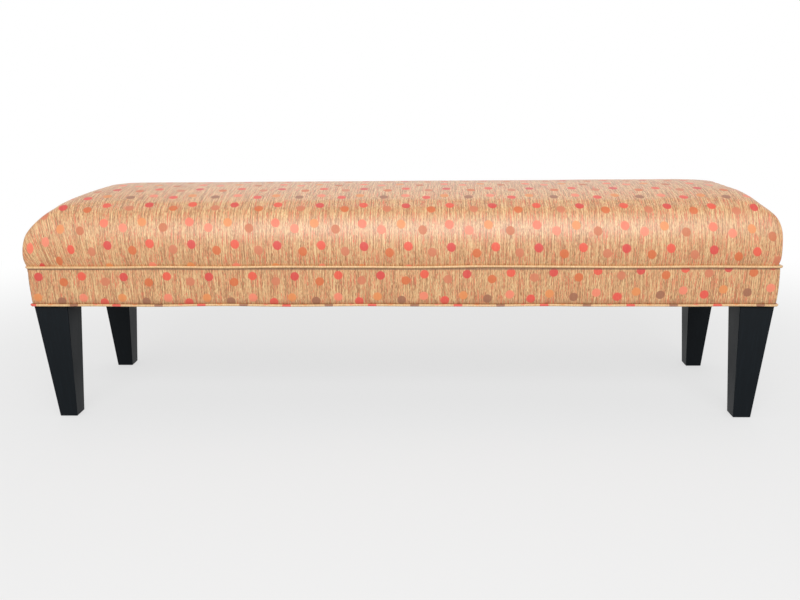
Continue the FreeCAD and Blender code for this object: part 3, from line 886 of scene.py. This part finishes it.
def flatten_cover(piece):
    """Lay the cover out flat, its pleats cut open, as the map its pattern is drawn on, in metres."""
    bpy.context.view_layer.objects.active = piece
    piece.select_set(True)
    bpy.ops.object.mode_set(mode="EDIT")
    bpy.ops.mesh.select_all(action="SELECT")
    bpy.ops.uv.unwrap(method="MINIMUM_STRETCH", margin=0.0, iterations=12)
    bpy.ops.object.mode_set(mode="OBJECT")
    piece.select_set(False)
    mesh = piece.data
    layer = mesh.uv_layers.active
    layer.name = "cloth"
    flat = np.empty(len(mesh.loops) * 2)
    layer.data.foreach_get("uv", flat)
    spots = flat[0::2] + 1j * flat[1::2]
    corner = np.empty(len(mesh.loops), int)
    mesh.loops.foreach_get("vertex_index", corner)
    points = coordinates(mesh)[corner]
    crest = (np.abs(points[:, 0]) < CREST_X) & (np.abs(points[:, 1]) < CREST_Y)
    real = points[:, 0] + 1j * points[:, 1]
    turn, shift = np.polyfit(spots[crest], real[crest], 1)
    laid = spots * turn + shift
    along, across = laid.real, laid.imag
    side = ramp(np.abs(across), 0.10, 0.10) * (np.abs(along) < HALF_LENGTH + 0.04)
    left = ramp(-along, 0.60, 0.15, 1.3) * side
    right = ramp(along, 0.64, 0.12, 1.3) * side
    flat[0::2] = along - LEFT_DRIFT[0] * left ** 1.2 + RIGHT_DRIFT[0] * right ** 2
    flat[1::2] = across - np.sign(across) * (LEFT_DRIFT[1] * left ** 3 + RIGHT_DRIFT[1] * right ** 2)
    layer.data.foreach_set("uv", flat)


class BENCH_OT_seat_cushion(bpy.types.Operator):
    """Build the filled seat cover with its corner pleats"""
    bl_idname = "bench.seat_cushion"
    bl_label = "Seat cushion"

    def execute(self, context):
        scene = context.scene
        crown = Crown(scene.bench_plan, scene.bench_crown)
        piece = crown_shell("seat_cushion", crown)
        fill_with_pressure(piece, scene.bench_crown, UPPER_WELT_Z + 0.002)
        add_ripples(piece, scene.bench_crown)
        cut_pleats(piece, scene.bench_crown)
        flatten_cover(piece)
        add_subdivision(piece)
        add_solidify(piece, scene.bench_plan.cloth)
        apply_modifiers(piece)
        cloth = dotted_cloth("dotted_cloth_seat", scene.bench_cloth, start=(-0.0737, -0.2595), slope=-0.012,
                             lean=0.044, stretch=1.05)
        dress(piece, cloth, "dotted_cloth", "seat_cover")
        return {"FINISHED"}


class BENCH_OT_wadding(bpy.types.Operator):
    """Build the soft wadding between the foam and the seat cover"""
    bl_idname = "bench.wadding"
    bl_label = "Wadding"

    def execute(self, context):
        scene = context.scene
        piece = crown_shell("seat_wadding", Crown(scene.bench_plan, scene.bench_crown))
        mesh = piece.data
        below_cover = 2.5 * scene.bench_plan.cloth
        put_coordinates(mesh, coordinates(mesh) - normals(mesh) * below_cover)
        bm = bmesh.new()
        bm.from_mesh(mesh)
        foot_z = UPPER_WELT_Z + 0.008
        loose = [vert for vert in bm.verts if vert.co.z < foot_z]
        bmesh.ops.delete(bm, geom=loose, context="VERTS")
        bm.to_mesh(mesh)
        bm.free()
        wadding_thickness = 0.004
        add_solidify(piece, wadding_thickness)
        apply_modifiers(piece)
        dress(piece, white_wadding(), "polyester_wadding", "polyester_wrap")
        return {"FINISHED"}


# The signs of both outline shares on each border, how far its edges lie from the welts' middles, how far the
# whole of it is moved in, and how far its pattern is shifted along it

BORDER_SIDES = {"front": (1, -1), "rear": (-1, 1), "left": (-1, -1), "right": (1, 1)}
BORDER_TUCK = 0.0012
BORDER_SINK = 0.0008
PATTERN_SHIFT = 0.0411


class BENCH_OT_border(bpy.types.Operator):
    """Build the four lengths of the border between the welts"""
    bl_idname = "bench.border"
    bl_label = "Border"

    def execute(self, context):
        scene = context.scene
        plan = scene.bench_plan
        outline = even_outline(plan, plan.band_setback)
        low = LOWER_WELT_Z + BORDER_TUCK
        high = UPPER_WELT_Z - BORDER_TUCK
        material = dotted_cloth("dotted_cloth_border", scene.bench_cloth, start=(0.0, 0.0608), slope=0.0123,
                                bend=0.0127, border_height=high - low)
        for side, (p_sign, q_sign) in BORDER_SIDES.items():
            long_side = side in ("front", "rear")
            half = (HALF_LENGTH if long_side else HALF_DEPTH) - plan.corner_radius * (1 - math.pi / 4)

            def place(u, v):
                share = 2 * u - 1
                p, q = (p_sign * share, q_sign) if long_side else (p_sign, q_sign * share)
                edge = outline.point(p, q)
                facing = outline.outward(p, q)
                wave = noise.noise(Vector((edge.x * 11, edge.y * 11, v * 2))) * 0.5
                swell = plan.band_swell * math.sin(math.pi * v) ** 0.7 * (0.7 + wave)
                spot = edge + facing * (swell - BORDER_SINK)
                return (*spot, low + (high - low) * v)

            columns = 160 if long_side else 44
            piece = grid_mesh("border_" + side + "_cloth", columns, 9, place,
                              lambda u, v: ((2 * u - 1) * half + PATTERN_SHIFT, v * (high - low)))
            add_solidify(piece, plan.cloth)
            add_subdivision(piece)
            apply_modifiers(piece)
            dress(piece, material, "dotted_cloth", "border_" + side)
            2 * half
        return {"FINISHED"}


class BENCH_OT_welts(bpy.types.Operator):
    """Build the cloth casings of both welts"""
    bl_idname = "bench.welts"
    bl_label = "Welts"

    def execute(self, context):
        scene = context.scene
        plan = scene.bench_plan
        radius = plan.welt_diameter / 2
        outline = even_outline(plan, radius - plan.welt_stand)
        girth = outline.girth()
        for name, height, start in (("upper_welt", UPPER_WELT_Z, (0.02, -0.0163)),
                                    ("lower_welt", LOWER_WELT_Z, (0.0, -0.1210))):

            def place(u, v):
                p, q = outline.loop_shares(u)
                edge = outline.point(p, q)
                facing = outline.outward(p, q)
                wave = plan.welt_wave * noise.noise(Vector((edge.x * 6, edge.y * 6, height * 40)))
                turn = 2 * math.pi * (v - 0.5)
                spot = edge + facing * radius * math.cos(turn)
                return (*spot, height + wave + radius * math.sin(turn))

            piece = grid_mesh(name + "_casing", 720, 14, place,
                              lambda u, v: (u * girth, (v - 0.5) * 2 * math.pi * radius), close=1e-5)
            # The welts' cloth is drawn lighter than the rest of the cover: this is partly a painted
            # highlight.
            cloth = dotted_cloth("dotted_cloth_" + name, scene.bench_cloth, start, calm_and_highlight=plan.welt_calm_and_highlight)
            dress(piece, cloth, "welt_cloth", name)
        return {"FINISHED"}


class BENCH_OT_legs(bpy.types.Operator):
    """Build the four square tapered legs"""
    bl_idname = "bench.legs"
    bl_label = "Legs"

    def execute(self, context):
        shape = context.scene.bench_legs
        material = lacquered_wood(shape)
        for corner in CORNERS:
            low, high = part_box("leg_" + corner)
            middle = (low + high) / 2
            bm = bmesh.new()
            bmesh.ops.create_cube(bm, size=1)
            bmesh.ops.scale(bm, vec=high - low, verts=bm.verts)
            foot = [vert for vert in bm.verts if vert.co.z < 0]
            taper = shape.foot_width / (high.x - low.x)
            bmesh.ops.scale(bm, vec=(taper, taper, 1), verts=foot)
            bmesh.ops.translate(bm, vec=middle, verts=bm.verts)
            edges = [e for e in bm.edges if any(v.co.z <= middle.z for v in e.verts)]
            bmesh.ops.bevel(bm, geom=edges, offset=shape.edge_radius, offset_type="OFFSET", affect="EDGES",
                            segments=3, profile=0.5, material=-1)
            piece = mesh_object("leg_" + corner + "_lacquered", bm)
            piece.modifiers.new("shading", "WEIGHTED_NORMAL").keep_sharp = True
            apply_modifiers(piece)
            dress(piece, material, "ebony_lacquered_wood", "leg_" + corner)
        return {"FINISHED"}


class BENCH_OT_underside(bpy.types.Operator):
    """Build the dust cover with its sag and staples"""
    bl_idname = "bench.underside"
    bl_label = "Underside"

    def execute(self, context):
        scene = context.scene
        shape = scene.bench_underside
        low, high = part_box("dust_cover")
        thickness = high.z - low.z
        rounding = 0.006
        outline = Outline(high.x, high.x, high.y, rounding)

        def place(u, v):
            x, y = outline.fill(2 * u - 1, 2 * v - 1)
            open_x = max(0.0, min(1.0, (high.x - 0.09 - abs(x)) / 0.25))
            open_y = max(0.0, min(1.0, (high.y - 0.02 - abs(y)) / 0.16))
            hang = shape.sag * math.sin(open_x * math.pi / 2) ** 2 * math.sin(open_y * math.pi / 2) ** 2
            wrinkle = 0.0006 * noise.noise(Vector((x * 9, y * 16, 1.3))) * min(1.0, hang / 0.001)
            return x, y, high.z - hang + wrinkle - thickness * 0.02

        piece = grid_mesh("dust_cover_cloth", 90, 30, place, lambda u, v: (u * 2 * high.x, v * 2 * high.y))
        add_solidify(piece, thickness)
        apply_modifiers(piece)
        cloth = fibrous("dust_cloth", (0.016, 0.016, 0.018), (0.004, 0.004, 0.005), 900.0, 0.0002)
        dress(piece, cloth, "dust_cloth", "dust_cover")
        edge = 0.007
        self.add_staples(shape, Outline(high.x - edge, high.x - edge, high.y - edge, rounding), low.z)
        return {"FINISHED"}

    def add_staples(self, shape, outline, height):
        """Staples all round the dust cover's edge, each a thin bevelled bar."""
        bm = bmesh.new()
        count = round(outline.girth() / shape.staple_spacing)
        leg_zone = 0.08
        for i in range(count):
            p, q = outline.loop_shares((i + 0.5) / count)
            spot = outline.point(p, q)
            if abs(spot.x) > HALF_LENGTH - leg_zone and abs(spot.y) > HALF_DEPTH - leg_zone:
                continue
            along = 0.0 if abs(q) >= abs(p) else math.pi / 2
            askew = 0.12 * noise.noise(Vector((i * 1.7, 0, 0)))
            bar = bmesh.ops.create_cube(bm, size=1)["verts"]
            bmesh.ops.scale(bm, vec=(shape.staple_width, 0.0011, 0.0006), verts=bar)
            bmesh.ops.rotate(bm, matrix=Matrix.Rotation(along + askew, 3, "Z"), verts=bar)
            bmesh.ops.translate(bm, vec=(spot.x, spot.y, height - 0.0003), verts=bar)
        bmesh.ops.bevel(bm, geom=bm.edges[:], offset=0.0002, offset_type="OFFSET", affect="EDGES", segments=1,
                        profile=0.5, material=-1)
        dress(mesh_object("dust_cover_staples", bm), zinc_plated(), "zinc_steel")


class BENCH_OT_inner_parts(bpy.types.Operator):
    """Give the pieces inside the bench their materials"""
    bl_idname = "bench.inner_parts"
    bl_label = "Inner parts"

    def execute(self, context):
        jute = plain_weave("jute_webbing", (0.36, 0.25, 0.12), (0.46, 0.33, 0.17), 0.0026, 0.0006)
        hessian = plain_weave("hessian", (0.40, 0.28, 0.14), (0.46, 0.33, 0.17), 0.0018, 0.0004)
        wadding = white_wadding()
        board = fibrous("cardboard", (0.33, 0.24, 0.15), (0.22, 0.15, 0.09), 400.0, 0.0002)
        along_x = planed_timber("frame_timber_long", 0)
        along_y = planed_timber("frame_timber_cross", 1)
        steel = zinc_plated()
        finishes = {
            along_x: ["front_rail", "rear_rail"],
            along_y: ["left_end_rail", "right_end_rail", "cross_rail_1", "cross_rail_2"],
            planed_timber("frame_timber_block", 2): ["corner_block_" + corner for corner in CORNERS],
            moulded_plastic(): ["leg_glides"],
            steel: ["leg_bolts", "leg_bolt_washers", "leg_bolt_nuts"],
            jute: ["webbing_long_straps", "webbing_cross_straps"],
            hessian: ["deck_cloth"],
            open_foam(): ["foam_base", "foam_crown"],
            wadding: ["border_padding"],
            twisted_cord(): ["upper_welt_cord", "lower_welt_cord"],
            board: ["tack_strips"],
        }
        for material, names in finishes.items():
            for name in names:
                NODES[name].data.materials.clear()
                NODES[name].data.materials.append(material)
        return {"FINISHED"}


# The stage: the floor's size, the lights' sizes, places and the points they face, the back light's share of
# the key light's power, and the picture's width

FLOOR_SIZE = 40
KEY_SIZE = (3.2, 1.1)
KEY_PLACE = Vector((0.1, -2.9, 2.35))
KEY_TARGET = Vector((0, -0.1, 0.4))
BACK_SHARE = 0.1
BACK_SIZE = (3.0, 1.0)
BACK_PLACE = Vector((0, 2.6, 2.2))
BACK_TARGET = Vector((0, 0, 0.4))
PICTURE_WIDTH = 800


class BENCH_OT_stage(bpy.types.Operator):
    """Build the floor, the lights and the camera"""
    bl_idname = "bench.stage"
    bl_label = "Stage"

    def execute(self, context):
        scene = context.scene
        stage = scene.bench_stage
        floor = grid_mesh("floor", 2, 2, lambda u, v: ((u - 0.5) * FLOOR_SIZE, (v - 0.5) * FLOOR_SIZE, 0))
        floor.data.materials.append(pale_floor(stage))
        self.add_sky(scene, stage)
        self.add_light("key", stage.key_power, KEY_SIZE, KEY_PLACE, KEY_TARGET)
        self.add_light("back", stage.key_power * BACK_SHARE, BACK_SIZE, BACK_PLACE, BACK_TARGET)
        self.add_camera(scene, stage)
        scene.view_settings.view_transform = "Standard"
        return {"FINISHED"}

    def add_sky(self, scene, stage):
        world = bpy.data.worlds.new("studio")
        scene.world = world
        world.use_nodes = True
        tree = world.node_tree
        rays = tree.nodes.new("ShaderNodeLightPath")
        seen = rays.outputs["Is Camera Ray"]
        for name in ("Is Transmission Ray", "Is Glossy Ray"):
            either = tree.nodes.new("ShaderNodeMath")
            either.operation = "MAXIMUM"
            tree.links.new(seen, either.inputs[0])
            tree.links.new(rays.outputs[name], either.inputs[1])
            seen = either.outputs[0]
        strength = tree.nodes.new("ShaderNodeMapRange")
        tree.links.new(seen, strength.inputs["Value"])
        strength.inputs["To Min"].default_value = stage.sky
        strength.inputs["To Max"].default_value = 1.0
        background = tree.nodes["Background"]
        background.inputs["Color"].default_value = (1, 1, 1, 1)
        tree.links.new(strength.outputs[0], background.inputs["Strength"])

    def add_light(self, name, power, size, place, target):
        lamp = bpy.data.lights.new(name, "AREA")
        lamp.shape = "RECTANGLE"
        lamp.size, lamp.size_y = size
        lamp.energy = power
        made = bpy.data.objects.new(name, lamp)
        made.location = place
        made.rotation_mode = "QUATERNION"
        made.rotation_quaternion = (target - place).to_track_quat("-Z", "Y")
        bpy.context.scene.collection.objects.link(made)

    def add_camera(self, scene, stage):
        lens = bpy.data.cameras.new("camera")
        lens.sensor_width = 36
        lens.lens = stage.focal_pixels / PICTURE_WIDTH * lens.sensor_width
        lens.shift_x = -stage.center_right / PICTURE_WIDTH
        lens.shift_y = stage.center_down / PICTURE_WIDTH
        camera = bpy.data.objects.new("camera", lens)
        turn = (Matrix.Rotation(stage.yaw, 4, "Z") @ Matrix.Rotation(math.pi / 2 - stage.pitch, 4, "X")
                @ Matrix.Rotation(stage.roll, 4, "Z"))
        place = Vector((stage.camera_right, -HALF_DEPTH - stage.camera_away, stage.camera_height))
        camera.matrix_world = Matrix.Translation(place) @ turn
        scene.collection.objects.link(camera)
        scene.camera = camera


OPERATORS = [BENCH_OT_stage, BENCH_OT_inner_parts, BENCH_OT_legs, BENCH_OT_underside, BENCH_OT_border,
             BENCH_OT_welts, BENCH_OT_wadding, BENCH_OT_seat_cushion]


class BENCH_PT_panel(bpy.types.Panel):
    """The bench's operators and its settings"""
    bl_idname = "BENCH_PT_panel"
    bl_label = "Upholstered Bench"
    bl_space_type = "VIEW_3D"
    bl_region_type = "UI"
    bl_category = "Bench"

    def draw(self, context):
        for operator in OPERATORS:
            self.layout.operator(operator.bl_idname)
        for name in SETTINGS:
            group = getattr(context.scene, name)
            box = self.layout.box()
            for key in group.__annotations__:
                box.prop(group, key)


def register():
    for name, group in SETTINGS.items():
        bpy.utils.register_class(group)
        setattr(bpy.types.Scene, name, bpy.props.PointerProperty(type=group))
    for item in [*OPERATORS, BENCH_PT_panel]:
        bpy.utils.register_class(item)


def unregister():
    for item in [BENCH_PT_panel, *reversed(OPERATORS)]:
        bpy.utils.unregister_class(item)
    for name, group in SETTINGS.items():
        delattr(bpy.types.Scene, name)
        bpy.utils.unregister_class(group)


def main():
    register()
    for operator in OPERATORS:
        group, name = operator.bl_idname.split(".")
        getattr(getattr(bpy.ops, group), name)()


if __name__ == "__main__":
    main()
